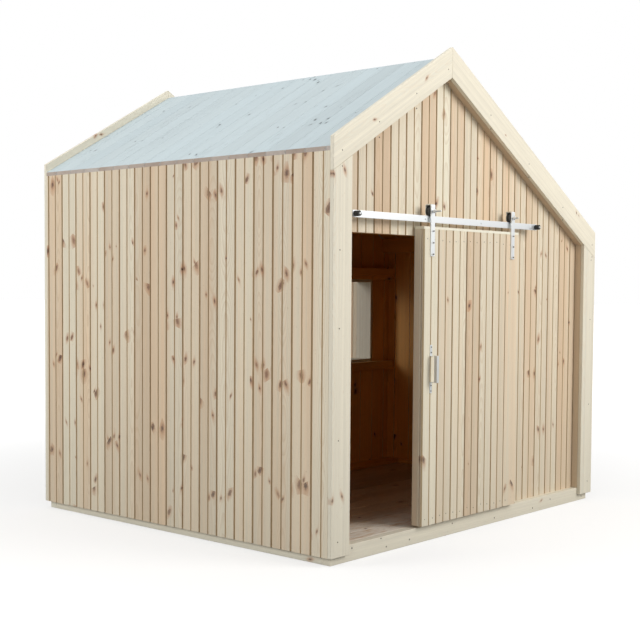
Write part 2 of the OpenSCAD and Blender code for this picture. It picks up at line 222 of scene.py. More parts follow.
class Finish:
    """One material and its nodes."""

    def __init__(self, name):
        self.material = bpy.data.materials.get(name) or bpy.data.materials.new(name)
        self.material.use_nodes = True
        self.tree = self.material.node_tree
        self.tree.nodes.clear()
        self.surface = self.tree.nodes.new("ShaderNodeBsdfPrincipled")
        output = self.tree.nodes.new("ShaderNodeOutputMaterial")
        self.tree.links.new(self.surface.outputs[0], output.inputs["Surface"])

    def node(self, kind, settings=None, values=None, output=0):
        """Adds a node: its settings first, then the numbers or links of its sockets."""
        made = self.tree.nodes.new(kind)
        for name, setting in (settings or {}).items():
            setattr(made, name, setting)
        for name, value in (values or {}).items():
            self.feed(made.inputs[name], value)
        return Value(self, made.outputs[output])

    def feed(self, socket, value):
        if isinstance(value, Value):
            self.tree.links.new(value.socket, socket)
        elif hasattr(socket.default_value, "__len__") and hasattr(value, "__len__"):
            missing = len(socket.default_value) - len(value)
            socket.default_value = (*value, *(1.0,) * missing)
        else:
            socket.default_value = value

    def set(self, **values):
        """Feeds sockets of the surface, such as Base_Color."""
        for name, value in values.items():
            self.feed(self.surface.inputs[name.replace("_", " ")], value)

    def vector(self, x, y, z):
        return self.node("ShaderNodeCombineXYZ", None, {0: x, 1: y, 2: z})

    def parts(self, vector):
        split = self.node("ShaderNodeSeparateXYZ", None, {0: vector})
        return [Value(self, socket) for socket in split.socket.node.outputs]

    def attribute(self, name):
        return self.node("ShaderNodeAttribute", {"attribute_name": name}, output="Vector")

    def place(self):
        return self.node("ShaderNodeTexCoord", output="Object")

    def mix(self, factor, first, second, blend="MIX"):
        """Mixes two colours."""
        settings = {"data_type": "RGBA", "blend_type": blend}
        return self.node("ShaderNodeMix", settings, {0: factor, 6: first, 7: second}, output=2)

    def noise(self, vector, scale, detail=2.0, roughness=0.5):
        """Soft noise, about 0 to 1."""
        values = {"Vector": vector, "Scale": scale, "Detail": detail, "Roughness": roughness}
        return self.node("ShaderNodeTexNoise", None, values)

    def bump(self, height, distance, strength=1.0):
        return self.node(
            "ShaderNodeBump", None, {"Height": height, "Distance": distance, "Strength": strength})


# ---------------------------------------------------------------- finishes

def colours():
    return bpy.context.scene.playhouse_colours


def sizes():
    return bpy.context.scene.playhouse_sizes


def shade(colour, factor):
    """A colour made lighter or darker."""
    return tuple(min(1.0, part * factor) for part in colour)


def knots(shader, across, along, amount, largest):
    """Knots in short rows along a board: their heart, ring, warm halo, and pull on the grain."""
    cell = 0.058
    row_spacing = 0.45
    row_half = 0.032
    cells = shader.node(
        "ShaderNodeTexVoronoi", {"voronoi_dimensions": "2D", "feature": "F1"},
        {"Vector": shader.vector(across / cell, along / cell, 0.0), "Scale": 1.0})
    outputs = cells.socket.node.outputs
    luck, girth, kind = shader.parts(Value(shader, outputs["Color"]))
    knot_across, knot_along, _ = shader.parts(Value(shader, outputs["Position"]))
    knot_across = knot_across * cell
    knot_along = knot_along * cell
    row_offset = ((knot_along / row_spacing).fraction() - 0.5).size() * row_spacing
    in_row = 1.0 - row_offset.above(row_half)
    stray = luck.above(0.985)
    present = (in_row * luck.above(1.0 - amount)).most(stray)
    radius = (girth * girth * (largest - 0.0040) + 0.0040) * (1.0 - stray * 0.5)
    from_along = along - knot_along
    from_across = across - knot_across + from_along * (kind - 0.5) * 0.9
    ragged = (shader.noise(shader.vector(across * 160.0, along * 90.0, luck * 9.0), 1.0, 3.0) - 0.5) * 1.3
    reach = (from_across * from_across + from_along * from_along * 0.42) ** 0.5
    ratio = reach / radius + ragged
    streak = (from_across / (radius * 1.2)).bell(1.0) * (from_along / (radius * 6.0)).bell(1.0)
    return {
        "heart": present * (1.0 - ratio.ease(0.30, 1.30)) * (0.50 + kind * 0.40),
        "ring": present * ((1.0 - ratio.ease(0.05, 0.75)) * luck.ease(0.3, 0.9)
                           + (ratio - 0.9).bell(0.2) * kind.ease(0.5, 0.8) * 0.6).least(1.0) * 0.9,
        "halo": present * (1.0 - ratio.ease(0.7, 3.2)),
        "streak": present * streak,
        "pull": present * (reach / (radius * 2.2)).bell(1.0),
        "ratio": ratio,
        "from_across": from_across,
    }


def wood(name, pale, warm, line, knot_amount=0.25, knot_size=0.012, line_strength=0.3, tone_spread=1.0,
         rough=0.62, low_darkening_amount=0.35, worn=None):
    """Spruce whose grain follows each board: year rings, sap and heart wood, knots and fine fibres."""
    shader = Finish(name)
    tints = colours()
    across, depth, along = shader.parts(shader.attribute("grain"))
    tone, second_tone, knotty = shader.parts(shader.attribute("board"))
    found = knots(shader, across, along, knotty * knot_amount, knot_size)

    wander = shader.node(
        "ShaderNodeTexNoise", {"noise_dimensions": "1D"}, {"W": along, "Scale": 1.1, "Detail": 1.0})
    sway = shader.node(
        "ShaderNodeTexNoise", {"noise_dimensions": "1D"}, {"W": along + 7.3, "Scale": 1.7, "Detail": 2.0})
    bent = across - found["from_across"] * found["pull"] * 0.85
    pith_across = bent + (wander - 0.5) * 0.05
    pith_depth = depth + (sway - 0.5) * 0.04
    ripple = shader.noise(shader.vector(bent * 60.0, depth * 60.0, along * 3.0), 1.0)
    reach = (pith_across * pith_across + pith_depth * pith_depth) ** 0.5 + (ripple - 0.5) * 0.0016
    ring_width = 0.0034
    turn = (reach / ring_width).fraction()
    summer = turn.ease(0.35, 0.92) * (1.0 - turn.ease(0.93, 1.0))

    streaks = shader.noise(shader.vector(bent * 75.0, depth * 75.0, along * 0.8), 1.0, 4.0, 0.6)
    fibres = shader.noise(shader.vector(bent * 700.0, depth * 700.0, along * 16.0), 1.0, 3.0, 0.6)
    bands = shader.noise(shader.vector(bent * 9.0, depth * 9.0, along * 0.35), 1.0, 2.0)

    heartwood = (tone * tone_spread + (bands - 0.5) * 1.2 + (streaks - 0.5) * 0.7).ease(0.15, 1.0)
    body = shader.mix(heartwood, pale, warm)
    cool = (1.0 - heartwood) * second_tone.ease(0.35, 0.9) * 0.55
    body = shader.mix(cool, body, tuple(part * tint for part, tint in zip(pale, (0.93, 1.0, 1.04))))
    lightness = 1.0 + (second_tone - 0.5) * 0.18 + (streaks - 0.5) * 0.42 + (fibres - 0.5) * 0.26
    body = shader.mix(1.0, body, shader.vector(lightness, lightness, lightness), "MULTIPLY")
    body = shader.mix(summer * line_strength * (0.45 + bands * 0.8), body, line)
    flecks = shader.noise(shader.vector(across * 190.0, depth * 190.0, along * 75.0), 1.0, 2.0, 0.6)
    body = shader.mix(flecks.ease(0.62, 0.80) * 0.38, body, shade(line, 0.8))
    body = shader.mix((found["halo"] * 0.48 + found["streak"] * 0.36).least(1.0), body, tints.knot_halo)
    heart = shader.mix((found["ratio"] * 3.0).fraction() * 0.5, tints.knot, shade(tints.knot, 1.7))
    body = shader.mix(found["heart"], body, heart)
    body = shader.mix(found["ring"], body, tints.knot_ring)

    _, y, height = shader.parts(shader.place())
    # Darker and greyer towards the ground.
    low_darkening = (1.0 - height.ease(0.0, 0.9)) * low_darkening_amount
    body = shader.mix(low_darkening * 0.6, body, shader.mix(0.5, shade(pale, 0.75), (0.42, 0.41, 0.33)))
    if worn:
        patchy = shader.noise(shader.vector(bent * 45.0, depth, along * 9.0), 1.0, 4.0, 0.65)
        trodden = (1.0 - y.ease(*worn)) * patchy.ease(0.30, 0.55)
        body = shader.mix(trodden * 0.8, body, tints.trodden)
        body = shader.mix((1.0 - y.ease(*worn)) * patchy.ease(0.62, 0.72) * 0.7, body, shade(line, 0.6))
    relief = fibres * 0.25 + summer * 0.5 + (1.0 - found["heart"]) * 0.6
    shader.set(
        Base_Color=body,
        Roughness=rough + (fibres - 0.5) * 0.2 - summer * 0.06,
        Normal=shader.bump(relief, 0.0006, 0.5))
    return shader.material


def stained_roof(name):
    """Thin blue-grey stain over spruce, with the grain, fine cracks and knots showing through."""
    shader = Finish(name)
    tints = colours()
    across, depth, along = shader.parts(shader.attribute("grain"))
    tone, second_tone, knotty = shader.parts(shader.attribute("board"))
    found = knots(shader, across, along, knotty * 0.5, 0.008)
    bent = across - found["from_across"] * found["pull"] * 0.8
    streaks = shader.noise(shader.vector(bent * 60.0, depth * 60.0, along * 1.6), 1.0, 4.0, 0.6)
    fibres = shader.noise(shader.vector(bent * 420.0, depth * 420.0, along * 9.0), 1.0, 3.0, 0.6)
    patches = shader.noise(shader.vector(across * 7.0, depth, along * 2.2), 1.0, 3.0)
    cracks = shader.noise(shader.vector(bent * 150.0, depth * 150.0, along * 2.5), 1.0, 2.0)
    crack = (1.0 - (cracks - 0.5).size().ease(0.0, 0.012)) * patches.ease(0.5, 0.62)
    lightness = (1.0 + (tone - 0.5) * 0.12 + (streaks - 0.5) * 0.22 + (fibres - 0.5) * 0.14
                 + (patches - 0.5) * 0.10)
    body = shader.mix(1.0, tints.roof_stain, shader.vector(lightness, lightness, lightness), "MULTIPLY")
    body = shader.mix(streaks.ease(0.55, 0.8) * 0.35, body, tints.roof_dark)
    body = shader.mix(second_tone * 0.12, body, (0.55, 0.56, 0.52))
    body = shader.mix(found["halo"] * 0.25, body, tints.roof_dark)
    body = shader.mix((found["heart"] + found["ring"]).least(1.0) * 0.9, body, shade(tints.roof_dark, 0.3))
    body = shader.mix(crack * 0.5, body, shade(tints.roof_dark, 0.4))
    shader.set(
        Base_Color=body,
        Roughness=0.7 + (fibres - 0.5) * 0.2,
        Normal=shader.bump(fibres * 0.4 + streaks * 0.3 - crack, 0.0008, 0.5))
    return shader.material


def galvanised(name):
    """Zinc coating: faint crystal patches, fine scratches and a dull sheen."""
    shader = Finish(name)
    tints = colours()
    place = shader.place()
    cells = shader.node(
        "ShaderNodeTexVoronoi", {"feature": "F1"}, {"Vector": place, "Scale": 130.0}, "Color")
    patch, _, _ = shader.parts(cells)
    cloud = shader.noise(place, 38.0, 4.0)
    x, y, z = shader.parts(place)
    scratches = shader.noise(shader.vector(x * 90.0, y * 500.0, z * 900.0), 1.0, 2.0)
    lightness = 0.86 + patch * 0.16 + (cloud - 0.5) * 0.4
    body = shader.mix(1.0, tints.zinc, shader.vector(lightness, lightness, lightness), "MULTIPLY")
    shader.set(
        Base_Color=body,
        Metallic=0.15,
        Specular_IOR_Level=0.3,
        Roughness=0.62 + patch * 0.10 + (cloud - 0.5) * 0.2 + (scratches - 0.5) * 0.12,
        Normal=shader.bump(scratches * 0.4 + patch * 0.3, 0.0002, 0.35))
    return shader.material


def dark_steel(name):
    """Dull heads of nails and screws, browned and dusty."""
    shader = Finish(name)
    cloud = shader.noise(shader.place(), 160.0, 3.0)
    body = shader.mix(cloud, (0.050, 0.040, 0.032), (0.16, 0.13, 0.10))
    shader.set(
        Base_Color=body,
        Metallic=0.4,
        Roughness=0.5 + (cloud - 0.5) * 0.3,
        Normal=shader.bump(cloud, 0.0002, 0.4))
    return shader.material


def black_finish(name, rough, grain_scale):
    """Black rubber or moulded plastic with a fine grain and rubbed, dusty places."""
    shader = Finish(name)
    place = shader.place()
    grain = shader.noise(place, grain_scale, 2.0)
    dust = shader.noise(place, 55.0, 4.0).ease(0.5, 0.8)
    body = shader.mix(dust * 0.5, colours().black, shade(colours().black, 3.2))
    shader.set(
        Base_Color=body,
        Roughness=rough + dust * 0.18 + (grain - 0.5) * 0.12,
        Normal=shader.bump(grain, 0.0002, 0.4))
    return shader.material


def finish(name):
    """A finish by name, made the first time it is asked for."""
    known = bpy.data.materials.get(name)
    if known:
        return known
    tints = colours()
    pale = tuple(tints.spruce_pale)
    warm = tuple(tints.spruce_warm)
    line = tuple(tints.spruce_line)
    trim = tuple(tints.trim_pale)
    floor_tone = tuple(tints.floor_wood)
    makers = {
        "side_wall_spruce": lambda: wood(name, pale, warm, line, 0.8, 0.014),
        "gable_spruce": lambda: wood(name, shade(pale, 1.02), warm, line, 0.5, 0.011),
        "door_spruce": lambda: wood(name, shade(pale, 1.0), warm, line, 0.35, 0.011, tone_spread=0.75),
        "planed_trim": lambda: wood(
            name, trim, shade(trim, 0.94), shade(line, 1.4), 0.25, 0.008, 0.14, 0.5, 0.58),
        # Painted shade: a darker, browner copy of the warm spruce for the posts and rafters in the front
        # recess.
        "shaded_framing_spruce": lambda: wood(
            name, shade(warm, 0.86), shade(warm, 0.70), line, 0.3, 0.012),
        "door_frame_spruce": lambda: wood(name, pale, warm, line, 0.3, 0.010),
        # Painted shade: the groove slopes get a browner copy of the spruce.
        "groove_shade_spruce": lambda: wood(
            name, tuple(tints.groove_shade_wood), shade(tints.groove_shade_wood, 0.8), shade(tints.groove_shade_wood, 0.6),
            0.3, 0.012, 0.3, 0.9, 0.7, 0.3),
        # Painted shade: a darker, warmer copy of the spruce for wood inside the room and under the roof.
        "shaded_inner_spruce": lambda: wood(
            name, tuple(tints.shaded_inner_wood), shade(tints.shaded_inner_wood, 0.72), shade(tints.shaded_inner_wood, 0.5),
            0.3, 0.014, 0.4, 0.9, 0.6, 0.0),
        "floor_spruce": lambda: wood(
            name, floor_tone, shade(floor_tone, 0.8), shade(floor_tone, 0.55),
            0.3, 0.012, 0.5, 0.8, 0.8, 0.0, (-0.80, -0.55)),
        "board_ends": lambda: wood(
            name, (0.52, 0.45, 0.40), (0.42, 0.33, 0.27), (0.20, 0.14, 0.10), 0.2, 0.008, 0.4, 0.9, 0.8),
        "roof_stain": lambda: stained_roof(name),
        "galvanised_steel": lambda: galvanised(name),
        "dark_steel": lambda: dark_steel(name),
        "black_rubber": lambda: black_finish(name, 0.62, 900.0),
        "black_wheel": lambda: black_finish(name, 0.38, 500.0),
    }
    return makers[name]()


# ---------------------------------------------------------------- making pieces

def new_mesh():
    """An empty mesh with the layers that tell each board's grain and character."""
    mesh = bmesh.new()
    mesh.verts.layers.float_vector.new("grain")
    mesh.verts.layers.float_vector.new("board")
    return mesh


def mark_board(mesh, verts, seed, to_board=None, knotty=1.0):
    """Writes a board's own coordinates and character into its corners."""
    dice = random.Random(seed)
    shift = Vector((
        dice.uniform(-0.09, 0.09), dice.uniform(0.004, 0.11), dice.uniform(-TILE_SHIFT, TILE_SHIFT)))
    character = Vector((dice.random(), dice.random(), knotty * dice.uniform(0.5, 1.4)))
    grain = mesh.verts.layers.float_vector["grain"]
    board = mesh.verts.layers.float_vector["board"]
    for vert in verts:
        place = to_board @ vert.co if to_board else vert.co
        vert[grain] = place + shift
        vert[board] = character


# The wall boards' third finish is painted groove shade.
THIRD_FINISHES = {"wall_boards": "groove_shade_spruce", "roof_boards": "board_ends"}


def paint_shade_inside(mesh, outwards, slot):
    """Gives the room's side of the boards the second finish, a painted shade colour, and the third finish to
    the wall boards' grooves, as painted groove shade, and to the roof boards' eaves ends.
    """
    room_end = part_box("rear_gable")[1].y
    for face in mesh.faces:
        facing = face.normal.dot(outwards)
        # Room-side faces inside the room get the painted shade colour; those behind the rear wall keep the
        # outer finish.
        if facing < -0.7 and face.calc_center_median().y < room_end:
            face.material_index = 1
        # The groove slopes of the wall boards get the painted groove shade.
        elif slot == "wall_boards" and 0.15 < facing < 0.9:
            face.material_index = 2
        elif slot == "roof_boards" and abs(face.normal.x) > 0.8:
            face.material_index = 2


def finish_piece(mesh, name, body, material, slot, replaced=(), smooth=True, inner=None, outwards=None):
    """Makes an object of a mesh, which rides on a body and stands for CAD nodes."""
    if inner:
        paint_shade_inside(mesh, Vector(outwards), slot)
    data = bpy.data.meshes.new(name)
    mesh.to_mesh(data)
    mesh.free()
    data.materials.append(finish(material))
    if inner:
        data.materials.append(finish(inner))
        if slot in THIRD_FINISHES:
            data.materials.append(finish(THIRD_FINISHES[slot]))
    if smooth:
        data.shade_smooth()
        data.set_sharp_from_angle(angle=math.radians(35))
    piece = bpy.data.objects.new(name, data)
    bpy.context.scene.collection.objects.link(piece)
    if smooth:
        even = piece.modifiers.new("even_normals", "WEIGHTED_NORMAL")
        even.keep_sharp = True
    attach(piece, body)
    if replaced:
        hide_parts(*replaced)
    return piece


def linked(verts):
    """The edges and faces round some corners, with the corners."""
    edges = {edge for vert in verts for edge in vert.link_edges}
    faces = {face for vert in verts for face in vert.link_faces}
    return list(verts) + list(edges) + list(faces)


def saw(mesh, verts, place, away):
    """Cuts a closed board at a plane, takes off the side that away points to, and closes the cut."""
    result = bmesh.ops.bisect_plane(
        mesh, geom=linked(verts), dist=1e-7, plane_co=place, plane_no=away, clear_outer=True)
    cut = [part for part in result["geom_cut"] if isinstance(part, bmesh.types.BMEdge)]
    fresh = [part for part in result["geom_cut"] if isinstance(part, bmesh.types.BMVert)]
    if cut:
        bmesh.ops.edgeloop_fill(mesh, edges=cut)
    kept = [vert for vert in verts if vert.is_valid]
    return kept + [vert for vert in fresh if vert not in kept]


def grooved_profile(cover, thick):
    """Section of a tongued board with bevelled edges and a centre groove, outer face at zero depth."""
    size = sizes()
    gap = size.joint_gap / 2
    half = size.groove_half
    deep = size.groove_depth
    slim = half * 0.72
    shallow = deep * 0.62
    floor_half = half * 0.12
    tongue = 0.006
    middle = cover / 2
    return [
        (gap, -deep), (half, 0), (middle - slim, 0), (middle - floor_half, -shallow),
        (middle + floor_half, -shallow), (middle + slim, 0), (cover - half, 0), (cover - gap, -deep),
        (cover - gap, -0.55 * thick), (cover - gap + tongue, -0.56 * thick),
        (cover - gap + tongue, -0.77 * thick), (cover - gap, -0.78 * thick), (cover - gap, -thick),
        (gap, -thick), (gap, -0.80 * thick), (gap + tongue + 0.001, -0.80 * thick),
        (gap + tongue + 0.001, -0.53 * thick), (gap, -0.53 * thick),
    ]


def plain_profile(cover, thick):
    """Section of a tongued board with a flat face and small eased edges."""
    gap = sizes().joint_gap * 0.3
    ease = 0.0012
    tongue = 0.005
    return [
        (gap, -ease), (gap + ease, 0), (cover - gap - ease, 0), (cover - gap, -ease),
        (cover - gap, -0.40 * thick), (cover - gap + tongue, -0.41 * thick),
        (cover - gap + tongue, -0.64 * thick), (cover - gap, -0.65 * thick), (cover - gap, -thick),
        (gap, -thick), (gap, -0.67 * thick), (gap + tongue + 0.001, -0.67 * thick),
        (gap + tongue + 0.001, -0.38 * thick), (gap, -0.38 * thick),
    ]


def lay_boards(mesh, place, profile, cover, first, across, along, cuts=(), seed=0, knotty=1.0):
    """Lays boards side by side. place turns (across, outwards, along) into the house's own axes."""
    back = place.inverted()
    first_board = math.floor((across[0] - first) / cover)
    last_board = math.ceil((across[1] - first) / cover)
    for number in range(first_board, last_board):
        start = first + number * cover
        corners = [mesh.verts.new((start + side, out, along[0])) for side, out in profile]
        end = mesh.faces.new(corners)
        grown = bmesh.ops.extrude_face_region(mesh, geom=[end])
        tops = [part for part in grown["geom"] if isinstance(part, bmesh.types.BMVert)]
        bmesh.ops.translate(mesh, vec=(0, 0, along[1] - along[0]), verts=tops)
        board = corners + tops
        if start < across[0]:
            board = saw(mesh, board, (across[0], 0, 0), (-1, 0, 0))
        if start + cover > across[1] - 0.006:
            board = saw(mesh, board, (across[1], 0, 0), (1, 0, 0))
        for point, away in cuts:
            if board:
                board = saw(mesh, board, back @ point, back.to_3x3() @ away)
        if not board:
            continue
        centre = Matrix.Translation((-(start + cover / 2), 0, 0))
        mark_board(mesh, board, seed * 1000 + number, centre, knotty)
        bmesh.ops.transform(mesh, matrix=place, verts=board)


def close_up(mesh):
    bmesh.ops.recalc_face_normals(mesh, faces=mesh.faces)


def axes_matrix(origin, across, outwards, along):
    """The matrix that turns board coordinates into the house's axes."""
    turned = Matrix((across, outwards, along)).transposed().to_4x4()
    turned.translation = origin
    return turned


def islands(mesh):
    """The separate solids of a mesh, each a list of corners."""
    left = set(mesh.verts)
    found = []
    for start in mesh.verts:
        if start not in left:
            continue
        left.discard(start)
        island = [start]
        for vert in island:
            for edge in vert.link_edges:
                other = edge.other_vert(vert)
                if other in left:
                    left.discard(other)
                    island.append(other)
        found.append(island)
    return found


def grain_matrix(island):
    """The matrix from the house's axes to a timber's own: across, depth, along its longest edge."""
    edges = {edge for vert in island for edge in vert.link_edges}
    longest = max(
        edges,
        key=lambda edge: (round(edge.calc_length(), 5), edge.verts[0].co.x, edge.verts[0].co.y))
    along = (longest.verts[1].co - longest.verts[0].co).normalized()
    lead = max(range(3), key=lambda axis: abs(along[axis]))
    if along[lead] < 0:
        along = -along
    helper = Vector((0, 1, 0)) if abs(along.y) < 0.7 else Vector((1, 0, 0))
    across = along.cross(helper).normalized()
    depth = along.cross(across)
    centre = sum((vert.co for vert in island), Vector()) / len(island)
    turned = Matrix((across, depth, along)).to_4x4()
    return turned @ Matrix.Translation(-centre)


def dress(nodes, name, body, material, slot, rounding=None, seed=0, knotty=1.0, sharp=40):
    """Copies CAD nodes as one piece with rounded edges, and gives each timber its own grain."""
    rounding = sizes().edge_round if rounding is None else rounding
    mesh = new_mesh()
    turns = []
    for node in nodes:
        part = bmesh.new()
        part.from_mesh(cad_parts[node].data)
        bmesh.ops.remove_doubles(part, verts=part.verts, dist=1e-6)
        bmesh.ops.dissolve_limit(part, angle_limit=math.radians(0.5), verts=part.verts, edges=part.edges)
        for island in islands(part):
            turns.append(grain_matrix(island))
        corners = [
            edge for edge in part.edges
            if edge.is_manifold and edge.calc_face_angle(0.0) > math.radians(sharp)
        ]
        bmesh.ops.bevel(
            part, geom=corners, offset=rounding, offset_type="OFFSET", segments=2, profile=0.5,
            affect="EDGES", material=-1, clamp_overlap=True)
        rounded = bpy.data.meshes.new("rounded_part")
        part.to_mesh(rounded)
        part.free()
        mesh.from_mesh(rounded)
        bpy.data.meshes.remove(rounded)
    for number, island in enumerate(islands(mesh)):
        centre = sum((vert.co for vert in island), Vector()) / len(island)
        turn = min(turns, key=lambda each: (each @ centre).length)
        mark_board(mesh, island, seed * 1000 + number, turn, knotty)
    return finish_piece(mesh, name, body, material, slot, nodes)


def drop_heads(mesh, points, towards, radius, height, segments=10):
    """Adds nail or screw heads that face towards, sunk until only their low dome stands out."""
    turn = UP.rotation_difference(Vector(towards)).to_matrix().to_4x4()
    for point in points:
        bmesh.ops.create_cone(
            mesh, cap_ends=True, segments=segments, radius1=radius, radius2=radius * HEAD_TAPER,
            depth=height, matrix=Matrix.Translation(Vector(point)) @ turn)


# ---------------------------------------------------------------- the house's measures

def low(node):
    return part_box(node)[0]


def high(node):
    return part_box(node)[1]


class RoofLines:
    """The two roof slopes, as the CAD has them."""

    def __init__(self):
        left_low, left_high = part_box("roof_left")
        right_low, right_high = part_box("roof_right")
        self.left = left_low.x
        self.ridge = left_high.x
        self.right = right_high.x
        self.front = left_low.y
        self.back = left_high.y
        left_run = self.ridge - self.left
        right_run = self.right - self.ridge
        self.fall = (left_low.z - right_low.z) / (right_run - left_run)
        self.top = left_high.z
        self.plumb = self.top - left_low.z - self.fall * left_run
        self.thick = self.plumb / math.sqrt(1 + self.fall ** 2)

    def under_cuts(self):
        """The planes of the roof's underside: a point and the direction that is cut away."""
        under = Vector((self.ridge, 0, self.top - self.plumb))
        return [
            (under, Vector((-self.fall, 0, 1)).normalized()),
            (under, Vector((self.fall, 0, 1)).normalized()),
        ]


# ---------------------------------------------------------------- operators

class PLAYHOUSE_OT_base(bpy.types.Operator):
    """Base timbers, joists, floor boards and the low strips on the floor"""

    bl_idname = "playhouse.base"
    bl_label = "Base and Floor"

    def execute(self, context):
        dress(["end_sills"], "front_and_back_sill_timbers", HOUSE, *TRIM, seed=11)
        dress(["side_sills"], "side_sill_timbers", HOUSE, *TRIM, seed=12)
        dress(["floor_joists"], "floor_joist_timbers", HOUSE, *TIMBER, seed=13)
        # The floor edge strips get the painted shade colour of the inner wood.
        dress(["floor_edges"], "floor_edge_strips", HOUSE, "shaded_inner_spruce", "floor_boards", seed=14)
        self.lay_floor()
        return {"FINISHED"}

    def lay_floor(self):
        corner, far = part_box("floor_boards")
        cover = sizes().floor_cover
        mesh = new_mesh()
        place = axes_matrix((0, 0, far.z), (0, 1, 0), (0, 0, 1), (1, 0, 0))
        lay_boards(
            mesh, place, plain_profile(cover, far.z - corner.z), cover, corner.y,
            (corner.y, far.y), (corner.x, far.x), seed=21)
        close_up(mesh)
        finish_piece(mesh, "floor_planks", HOUSE, "floor_spruce", "floor_boards", ["floor_boards"], False)


class PLAYHOUSE_OT_side_walls(bpy.types.Operator):
    """Upright grooved boards of the two side walls"""

    bl_idname = "playhouse.side_walls"
    bl_label = "Side Walls"

    def execute(self, context):
        roof = RoofLines()
        for node, side, seed in (("left_wall", -1, 31), ("right_wall", 1, 32)):
            corner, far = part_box(node)
            cover = sizes().wall_cover
            outer = corner.x if side < 0 else far.x
            mesh = new_mesh()
            place = axes_matrix((outer, 0, 0), (0, 1, 0), (side, 0, 0), (0, 0, 1))
            lay_boards(
                mesh, place, grooved_profile(cover, far.x - corner.x), cover,
                corner.y + sizes().side_first, (corner.y, far.y), (corner.z, far.z + 0.05),
                roof.under_cuts(), seed, 1.0)
            close_up(mesh)
            finish_piece(
                mesh, node + "_boards", HOUSE, "side_wall_spruce", "wall_boards", [node], False,
                "shaded_inner_spruce", (side, 0, 0))
        return {"FINISHED"}


class PLAYHOUSE_OT_gable_walls(bpy.types.Operator):
    """Upright grooved boards of the front and rear walls, cut round the doorway and the window"""

    bl_idname = "playhouse.gable_walls"
    bl_label = "Front and Rear Walls"

    def execute(self, context):
        left = low("front_gable").x
        right = high("front_gable").x
        door_left = high("front_wall_left").x
        door_right = low("front_wall_right").x
        head = low("front_gable").z
        floor = low("front_wall_left").z
        self.lay_wall(
            "front_wall_boards", "front_gable", -1, 41,
            ["front_wall_left", "front_wall_right", "front_gable"],
            [(left, door_left, floor), (door_left, door_right, head), (door_right, right, floor)], [])
        window_left = high("rear_wall_left").x
        window_right = low("rear_wall_right").x
        sill = high("rear_wall_below").z
        top = low("rear_gable").z
        self.lay_wall(
            "rear_wall_boards", "rear_gable", 1, 42,
            ["rear_wall_left", "rear_wall_right", "rear_wall_below", "rear_gable"],
            [(left, window_left, floor), (window_left, window_right, top), (window_right, right, floor)],
            [(window_left, window_right, floor, sill)])
        return {"FINISHED"}

    def lay_wall(self, name, node, side, seed, nodes, bays, short_bays):
        roof = RoofLines()
        corner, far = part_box(node)
        cover = sizes().wall_cover
        profile = grooved_profile(cover, far.y - corner.y)
        outer = corner.y if side < 0 else far.y
        first = corner.x + sizes().gable_first
        mesh = new_mesh()
        place = axes_matrix((0, outer, 0), (1, 0, 0), (0, side, 0), (0, 0, 1))
        for start, end, foot in bays:
            lay_boards(
                mesh, place, profile, cover, first, (start, end), (foot, far.z + 0.05),
                roof.under_cuts(), seed, 0.7)
        for start, end, foot, top in short_bays:
            lay_boards(mesh, place, profile, cover, first, (start, end), (foot, top), (), seed, 0.7)
        close_up(mesh)
        finish_piece(
            mesh, name, HOUSE, "gable_spruce", "wall_boards", nodes, False, "shaded_inner_spruce", (0, side, 0))


class PLAYHOUSE_OT_gable_frames(bpy.types.Operator):
    """Posts, rafters, corner boards and gable boards at both ends"""

    bl_idname = "playhouse.gable_frames"
    bl_label = "Gable Frames and Trim"

    def execute(self, context):
        for number, end in enumerate(("front", "back")):
            seed = 50 + 5 * number
            # Posts and rafters take the painted shade tan of the framing finish.
            dress([f"{end}_posts"], f"{end}_post_timbers", HOUSE, *TIMBER, seed=seed)
            dress(
                [f"{end}_rafter_left", f"{end}_rafter_right"], f"{end}_rafter_timbers", HOUSE,
                *TIMBER, seed=seed + 1)
            dress(
                [f"{end}_corner_boards"], f"{end}_corner_trim", HOUSE, *TRIM, seed=seed + 2)
            for side in ("left", "right"):
                dress(
                    [f"{end}_barge_{side}"], f"{end}_gable_trim_{side}", HOUSE, *TRIM,
                    seed=seed + 3 + (side == "right"))
        return {"FINISHED"}


class PLAYHOUSE_OT_roof(bpy.types.Operator):
    """Stained roof boards that run down both slopes"""

    bl_idname = "playhouse.roof"
    bl_label = "Roof Boards"

    def execute(self, context):
        roof = RoofLines()
        cover = sizes().roof_cover
        profile = plain_profile(cover, roof.thick)
        ridge = Vector((roof.ridge, 0, roof.top))
        for side, edge, seed in ((-1, roof.left, 61), (1, roof.right, 62)):
            along = Vector((side, 0, -roof.fall)).normalized()
            outwards = Vector((side * roof.fall, 0, 1)).normalized()
            run = abs(edge - roof.ridge) * math.sqrt(1 + roof.fall ** 2)
            mesh = new_mesh()
            place = axes_matrix(ridge, (0, 1, 0), outwards, along)
            cuts = [
                (ridge, Vector((-side, 0, 0))),
                (Vector((edge, 0, 0)), Vector((side, 0, 0))),
            ]
            lay_boards(
                mesh, place, profile, cover, roof.front + 0.02, (roof.front, roof.back),
                (-0.05, run + 0.05), cuts, seed)
            close_up(mesh)
            word = "left" if side < 0 else "right"
            finish_piece(
                mesh, f"roof_{word}_boards", HOUSE, "roof_stain", "roof_boards", [f"roof_{word}"], False,
                "shaded_inner_spruce", outwards)
        return {"FINISHED"}


class PLAYHOUSE_OT_framing(bpy.types.Operator):
    """Top plates, roof beams, doorway frame and rear wall rails"""

    bl_idname = "playhouse.framing"
    bl_label = "Inner Framing"

    def execute(self, context):
        nodes = ("top_plates", "roof_beams", "doorway_studs", "doorway_header", "rear_rails")
        for number, node in enumerate(nodes):
            # The inner framing gets the painted shade colour.
            dress([node], f"{node}_timber", HOUSE, *INDOORS, seed=70 + number)
        return {"FINISHED"}


class PLAYHOUSE_OT_window(bpy.types.Operator):
    """Lining boards of the open window"""

    bl_idname = "playhouse.window"
    bl_label = "Window Lining"

    def execute(self, context):
        dress(
            ["window_jambs", "window_boards"], "window_lining", HOUSE, *TRIM,
            0.0015, 80)
        return {"FINISHED"}


